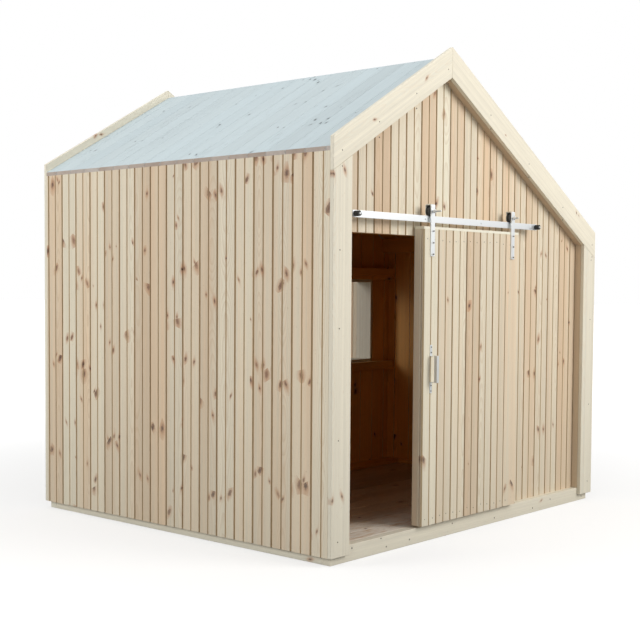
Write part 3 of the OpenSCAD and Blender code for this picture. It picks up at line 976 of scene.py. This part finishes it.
class PLAYHOUSE_OT_door(bpy.types.Operator):
    """Grooved boards and the frame of the sliding door"""

    bl_idname = "playhouse.door"
    bl_label = "Door"

    def execute(self, context):
        corner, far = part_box("door_boards")
        cover = sizes().wall_cover
        thick = far.y - corner.y
        last = corner.x + 6 * cover
        mesh = new_mesh()
        place = axes_matrix((0, corner.y, 0), (1, 0, 0), (0, -1, 0), (0, 0, 1))
        lay_boards(
            mesh, place, grooved_profile(cover, thick), cover, corner.x,
            (corner.x, last), (corner.z, far.z), (), 91, 0.6)
        lay_boards(
            mesh, place, plain_profile(far.x - last + 0.001, thick), far.x - last + 0.001, last,
            (last, far.x), (corner.z, far.z), (), 92, 0.3)
        close_up(mesh)
        finish_piece(
            mesh, "door_face_boards", DOOR, "door_spruce", "wall_boards", ["door_boards"], False,
            "shaded_inner_spruce", (0, -1, 0))
        dress(
            ["door_stiles", "door_rails"], "door_frame_timbers", DOOR, "door_frame_spruce", "framing",
            0.002, 93)
        dress(["door_cap"], "door_cap_strip", DOOR, *TRIM, 0.0012, 94)
        return {"FINISHED"}


class PLAYHOUSE_OT_sliding_gear(bpy.types.Operator):
    """Steel rail with its stand-offs and stops, bent straps and grooved wheels"""

    bl_idname = "playhouse.sliding_gear"
    bl_label = "Sliding Gear"

    def execute(self, context):
        dress(["door_rail"], "door_rail_bar", HOUSE, *STEEL, 0.0008, 101)
        dress(["rail_standoffs"], "rail_standoff_sleeves", HOUSE, *STEEL, 0.0005, 102)
        dress(["rail_stops"], "rail_stop_buffers", HOUSE, *RUBBER, 0.002, 103)
        dress(["hangers"], "hanger_straps", DOOR, *STEEL, 0.0007, 104)
        for side in ("left", "right"):
            dress([f"wheel_{side}"], f"rail_wheel_{side}", f"{side}_wheel", *WHEEL, 0.0012, 105)
        return {"FINISHED"}


class PLAYHOUSE_OT_handle(bpy.types.Operator):
    """Pressed steel pull handle with its screws"""

    bl_idname = "playhouse.handle"
    bl_label = "Door Handle"

    def execute(self, context):
        dress(["handle"], "door_pull", DOOR, *STEEL, 0.0008, 111)
        corner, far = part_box("handle")
        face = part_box("door_boards")[0].y
        x = (corner.x + far.x) / 2
        front = face - 0.003
        feet = [corner.z + 0.010, corner.z + 0.034, far.z - 0.034, far.z - 0.010]
        mesh = new_mesh()
        drop_heads(mesh, [(x, front, z) for z in feet], FRONT, 0.0035, 0.003)
        finish_piece(mesh, "door_pull_screws", DOOR, *DARK_STEEL, (), False)
        return {"FINISHED"}


class PLAYHOUSE_OT_fixings(bpy.types.Operator):
    """Nails in the door, screws in the trim and sills, and the bolts of the sliding gear"""

    bl_idname = "playhouse.fixings"
    bl_label = "Nails, Screws and Bolts"

    def execute(self, context):
        self.nail_door()
        self.screw_trim()
        self.bolt_hangers()
        self.bolt_rail()
        return {"FINISHED"}

    def nail_door(self):
        corner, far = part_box("door_boards")
        dice = random.Random(7)
        stave = sizes().wall_cover / 2
        mesh = new_mesh()
        points = []
        for row in (corner.z + 0.034, far.z - 0.046):
            count = int((far.x - corner.x) / stave)
            for number in range(count):
                x = corner.x + (number + 0.5) * stave + dice.uniform(-0.006, 0.006)
                points.append((x, corner.y, row + dice.uniform(-0.006, 0.006)))
        drop_heads(mesh, points, FRONT, sizes().nail_radius, 0.0012)
        finish_piece(mesh, "door_nails", DOOR, *DARK_STEEL, (), False)

    def screw_trim(self):
        """Countersunk screws where the sills meet the joists and where the trim meets the posts."""
        sill = low("end_sills")
        trim = low("front_corner_boards")
        mesh = new_mesh()
        on_sill = [
            (-0.935, 0.054), (-0.738, 0.064), (-0.700, 0.022), (-0.532, 0.027), (-0.20, 0.050),
            (0.16, 0.024), (0.518, 0.023), (0.693, 0.046), (1.024, 0.019),
        ]
        drop_heads(mesh, [(x, sill.y, z) for x, z in on_sill], FRONT, sizes().screw_radius, 0.0012)
        ridge = RoofLines()
        on_trim = []
        for x in (trim.x + 0.043, high("front_corner_boards").x - 0.043):
            for z in (0.10, 0.52, 0.98, 1.30):
                on_trim.append((x, trim.y, z))
        for x in (-1.041, -0.80, -0.54, -0.303, 0.05, 0.40, 0.74, 1.06):
            for drop in (0.045, 0.110):
                on_trim.append((x, trim.y, ridge.top - abs(x - ridge.ridge) * ridge.fall - drop))
        drop_heads(mesh, on_trim, FRONT, sizes().screw_radius * 0.8, 0.0012)
        finish_piece(mesh, "front_screws", HOUSE, *DARK_STEEL, (), False)

    def bolt_hangers(self):
        """Bolts in the straps, axle nuts with the bolts' long ends, and a black cap over each wheel, a dark
        piece set where the strap's bent back lies in shade.
        """
        corner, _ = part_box("hangers")
        steel = new_mesh()
        dark = new_mesh()
        shade_caps = new_mesh()
        for side, rod in (("left", 0.031), ("right", 0.017)):
            wheel_low, wheel_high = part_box(f"wheel_{side}")
            centre = (wheel_low + wheel_high) / 2
            bolts = [(centre.x, corner.y, corner.z + up) for up in (0.009, 0.060, 0.112)]
            drop_heads(dark, bolts, FRONT, 0.0036, 0.003)
            drop_heads(steel, [(centre.x, corner.y - 0.004, centre.z)], FRONT, 0.0095, 0.008, 6)
            drop_heads(
                steel, [(centre.x, corner.y - 0.008 - rod / 2, centre.z)], FRONT, 0.0046, rod, 12)
            # Painted shade: a black cap over each wheel where the strap's bent back lies in shade.
            drop_heads(
                shade_caps, [(centre.x, wheel_high.y - 0.002, wheel_high.z + 0.001)], (0, 1, 0), 0.0085, 0.016, 14)
        finish_piece(steel, "axle_nuts", DOOR, *STEEL, (), False)
        finish_piece(dark, "hanger_bolts", DOOR, *DARK_STEEL, (), False)
        finish_piece(shade_caps, "hanger_shade_caps", DOOR, *WHEEL, (), False)

    def bolt_rail(self):
        """Bolt heads on the rail over its stand-offs and on the end stops."""
        rail_low, rail_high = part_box("door_rail")
        stop_low, stop_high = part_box("rail_stops")
        middle = (rail_low.z + rail_high.z) / 2
        radius = (stop_high.z - stop_low.z) / 2
        first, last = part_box("rail_standoffs")
        ends = [first.x + 0.006, last.x - 0.006]
        count = 4
        mesh = new_mesh()
        spots = [
            (ends[0] + (ends[1] - ends[0]) * number / (count - 1), rail_low.y - 0.0015, middle)
            for number in range(count)
        ]
        drop_heads(mesh, spots, FRONT, 0.0055, 0.004, 6)
        stops = [(x, stop_low.y - 0.0015, middle) for x in (stop_low.x + radius, stop_high.x - radius)]
        drop_heads(mesh, stops, FRONT, 0.0052, 0.005, 6)
        finish_piece(mesh, "rail_bolts", HOUSE, *STEEL, (), False)


# name, place, target, width, power, colour
LAMPS = (
    ("key_lamp", (1.6, -5.6, 3.6), (0, 0, 1.1), 3.6, 250.0, (1.0, 0.985, 0.96)),
    ("sky_lamp", (-0.5, 0.5, 6.5), (0, 0, 0.9), 5.0, 90.0, (0.97, 0.985, 1.0)),
    ("left_lamp", (-6.0, 2.6, 2.8), (0, 0, 1.2), 3.0, 160.0, (1.0, 0.99, 0.97)),
    ("near_lamp", (-5.6, -3.0, 2.4), (-0.4, -0.9, 1.0), 1.6, 38.0, (1.0, 0.99, 0.97)),
)
CAMERA_PLACE = (-4.745, -4.080, 1.160)
CAMERA_HEADING = 48.644
CAMERA_DIP = 2.783
CAMERA_ROLL = 0.3875
CAMERA_LENS = 66.63
CAMERA_SHIFT = (0.0104, 0.0341)


class PLAYHOUSE_OT_stage(bpy.types.Operator):
    """Plain floor, soft studio light and the camera"""

    bl_idname = "playhouse.stage"
    bl_label = "Stage"

    def execute(self, context):
        self.lay_ground()
        self.light()
        self.aim_camera()
        return {"FINISHED"}

    def lay_ground(self):
        mesh = bmesh.new()
        bmesh.ops.create_grid(mesh, x_segments=1, y_segments=1, size=60.0)
        bmesh.ops.translate(mesh, vec=(0, 0, CAD_BOX[0][2] - 0.0005), verts=mesh.verts)
        data = bpy.data.meshes.new("studio_floor")
        mesh.to_mesh(data)
        mesh.free()
        shader = Finish("studio_floor_paint")
        shader.set(Base_Color=(0.36, 0.355, 0.345), Roughness=0.9, Emission_Color=(1.0, 1.0, 1.0))
        shader.surface.inputs["Specular IOR Level"].default_value = 0.1
        x, y, _ = shader.parts(shader.place())
        away = ((x * x + y * y) ** 0.5).ease(1.6, 6.0)
        seen = shader.node("ShaderNodeLightPath", output="Is Camera Ray")
        shader.set(Emission_Strength=seen * (0.62 + away * 0.38))
        data.materials.append(shader.material)
        ground = bpy.data.objects.new("studio_floor", data)
        bpy.context.scene.collection.objects.link(ground)

    def light(self):
        world = bpy.data.worlds.new("studio_world")
        bpy.context.scene.world = world
        world.use_nodes = True
        tree = world.node_tree
        tree.nodes.clear()
        path = tree.nodes.new("ShaderNodeLightPath")
        plain = tree.nodes.new("ShaderNodeBackground")
        plain.inputs["Color"].default_value = (0.95, 0.97, 1.0, 1.0)
        plain.inputs["Strength"].default_value = 0.46
        white = tree.nodes.new("ShaderNodeBackground")
        white.inputs["Color"].default_value = (1.0, 1.0, 1.0, 1.0)
        white.inputs["Strength"].default_value = 1.0
        either = tree.nodes.new("ShaderNodeMath")
        either.operation = "MAXIMUM"
        choose = tree.nodes.new("ShaderNodeMixShader")
        output = tree.nodes.new("ShaderNodeOutputWorld")
        tree.links.new(path.outputs["Is Camera Ray"], either.inputs[0])
        tree.links.new(path.outputs["Is Glossy Ray"], either.inputs[1])
        tree.links.new(either.outputs[0], choose.inputs[0])
        tree.links.new(plain.outputs[0], choose.inputs[1])
        tree.links.new(white.outputs[0], choose.inputs[2])
        tree.links.new(choose.outputs[0], output.inputs["Surface"])
        for lamp in LAMPS:
            self.lamp(*lamp)

    def lamp(self, name, place, target, size, power, colour):
        light = bpy.data.lights.new(name, "AREA")
        light.shape = "DISK"
        light.size = size
        light.energy = power
        light.color = colour
        lamp = bpy.data.objects.new(name, light)
        lamp.location = place
        lamp.rotation_euler = (Vector(target) - Vector(place)).to_track_quat("-Z", "Y").to_euler()
        bpy.context.scene.collection.objects.link(lamp)

    def aim_camera(self):
        data = bpy.data.cameras.new("view_camera")
        data.sensor_width = 36.0
        data.lens = CAMERA_LENS
        data.shift_x, data.shift_y = CAMERA_SHIFT
        camera = bpy.data.objects.new("view_camera", data)
        heading = math.radians(CAMERA_HEADING)
        dip = math.radians(CAMERA_DIP)
        roll = math.radians(CAMERA_ROLL)
        ahead = Vector((
            math.sin(heading) * math.cos(dip), math.cos(heading) * math.cos(dip), -math.sin(dip)))
        level = Vector((math.cos(heading), -math.sin(heading), 0))
        upright = level.cross(ahead)
        right = level * math.cos(roll) + upright * math.sin(roll)
        top = upright * math.cos(roll) - level * math.sin(roll)
        turn = Matrix((right, top, -ahead)).transposed().to_4x4()
        turn.translation = Vector(CAMERA_PLACE)
        camera.matrix_world = turn
        bpy.context.scene.collection.objects.link(camera)
        bpy.context.scene.camera = camera
        bpy.context.scene.view_settings.view_transform = "Standard"


OPERATORS = (
    PLAYHOUSE_OT_base, PLAYHOUSE_OT_side_walls, PLAYHOUSE_OT_gable_walls, PLAYHOUSE_OT_gable_frames,
    PLAYHOUSE_OT_roof, PLAYHOUSE_OT_framing, PLAYHOUSE_OT_window, PLAYHOUSE_OT_door,
    PLAYHOUSE_OT_sliding_gear, PLAYHOUSE_OT_handle, PLAYHOUSE_OT_fixings, PLAYHOUSE_OT_stage,
)


class PLAYHOUSE_PT_panel(bpy.types.Panel):
    """Sizes, colours and building steps of the playhouse"""

    bl_idname = "PLAYHOUSE_PT_panel"
    bl_label = "Playhouse"
    bl_space_type = "VIEW_3D"
    bl_region_type = "UI"
    bl_category = "Playhouse"

    def draw(self, context):
        layout = self.layout
        for group in (context.scene.playhouse_sizes, context.scene.playhouse_colours):
            box = layout.box()
            for name in group.bl_rna.properties.keys():
                if name not in {"rna_type", "name"}:
                    box.prop(group, name)
        for operator in OPERATORS:
            layout.operator(operator.bl_idname)


CLASSES = (PlayhouseSizes, PlayhouseColours, *OPERATORS, PLAYHOUSE_PT_panel)


def register():
    for each in CLASSES:
        bpy.utils.register_class(each)
    bpy.types.Scene.playhouse_sizes = bpy.props.PointerProperty(type=PlayhouseSizes)
    bpy.types.Scene.playhouse_colours = bpy.props.PointerProperty(type=PlayhouseColours)


def unregister():
    del bpy.types.Scene.playhouse_colours
    del bpy.types.Scene.playhouse_sizes
    for each in reversed(CLASSES):
        bpy.utils.unregister_class(each)


def main():
    """Builds every piece in order."""
    register()
    bpy.ops.playhouse.base()
    bpy.ops.playhouse.side_walls()
    bpy.ops.playhouse.gable_walls()
    bpy.ops.playhouse.gable_frames()
    bpy.ops.playhouse.roof()
    bpy.ops.playhouse.framing()
    bpy.ops.playhouse.window()
    bpy.ops.playhouse.door()
    bpy.ops.playhouse.sliding_gear()
    bpy.ops.playhouse.handle()
    bpy.ops.playhouse.fixings()
    bpy.ops.playhouse.stage()


if __name__ == "__main__":
    main()
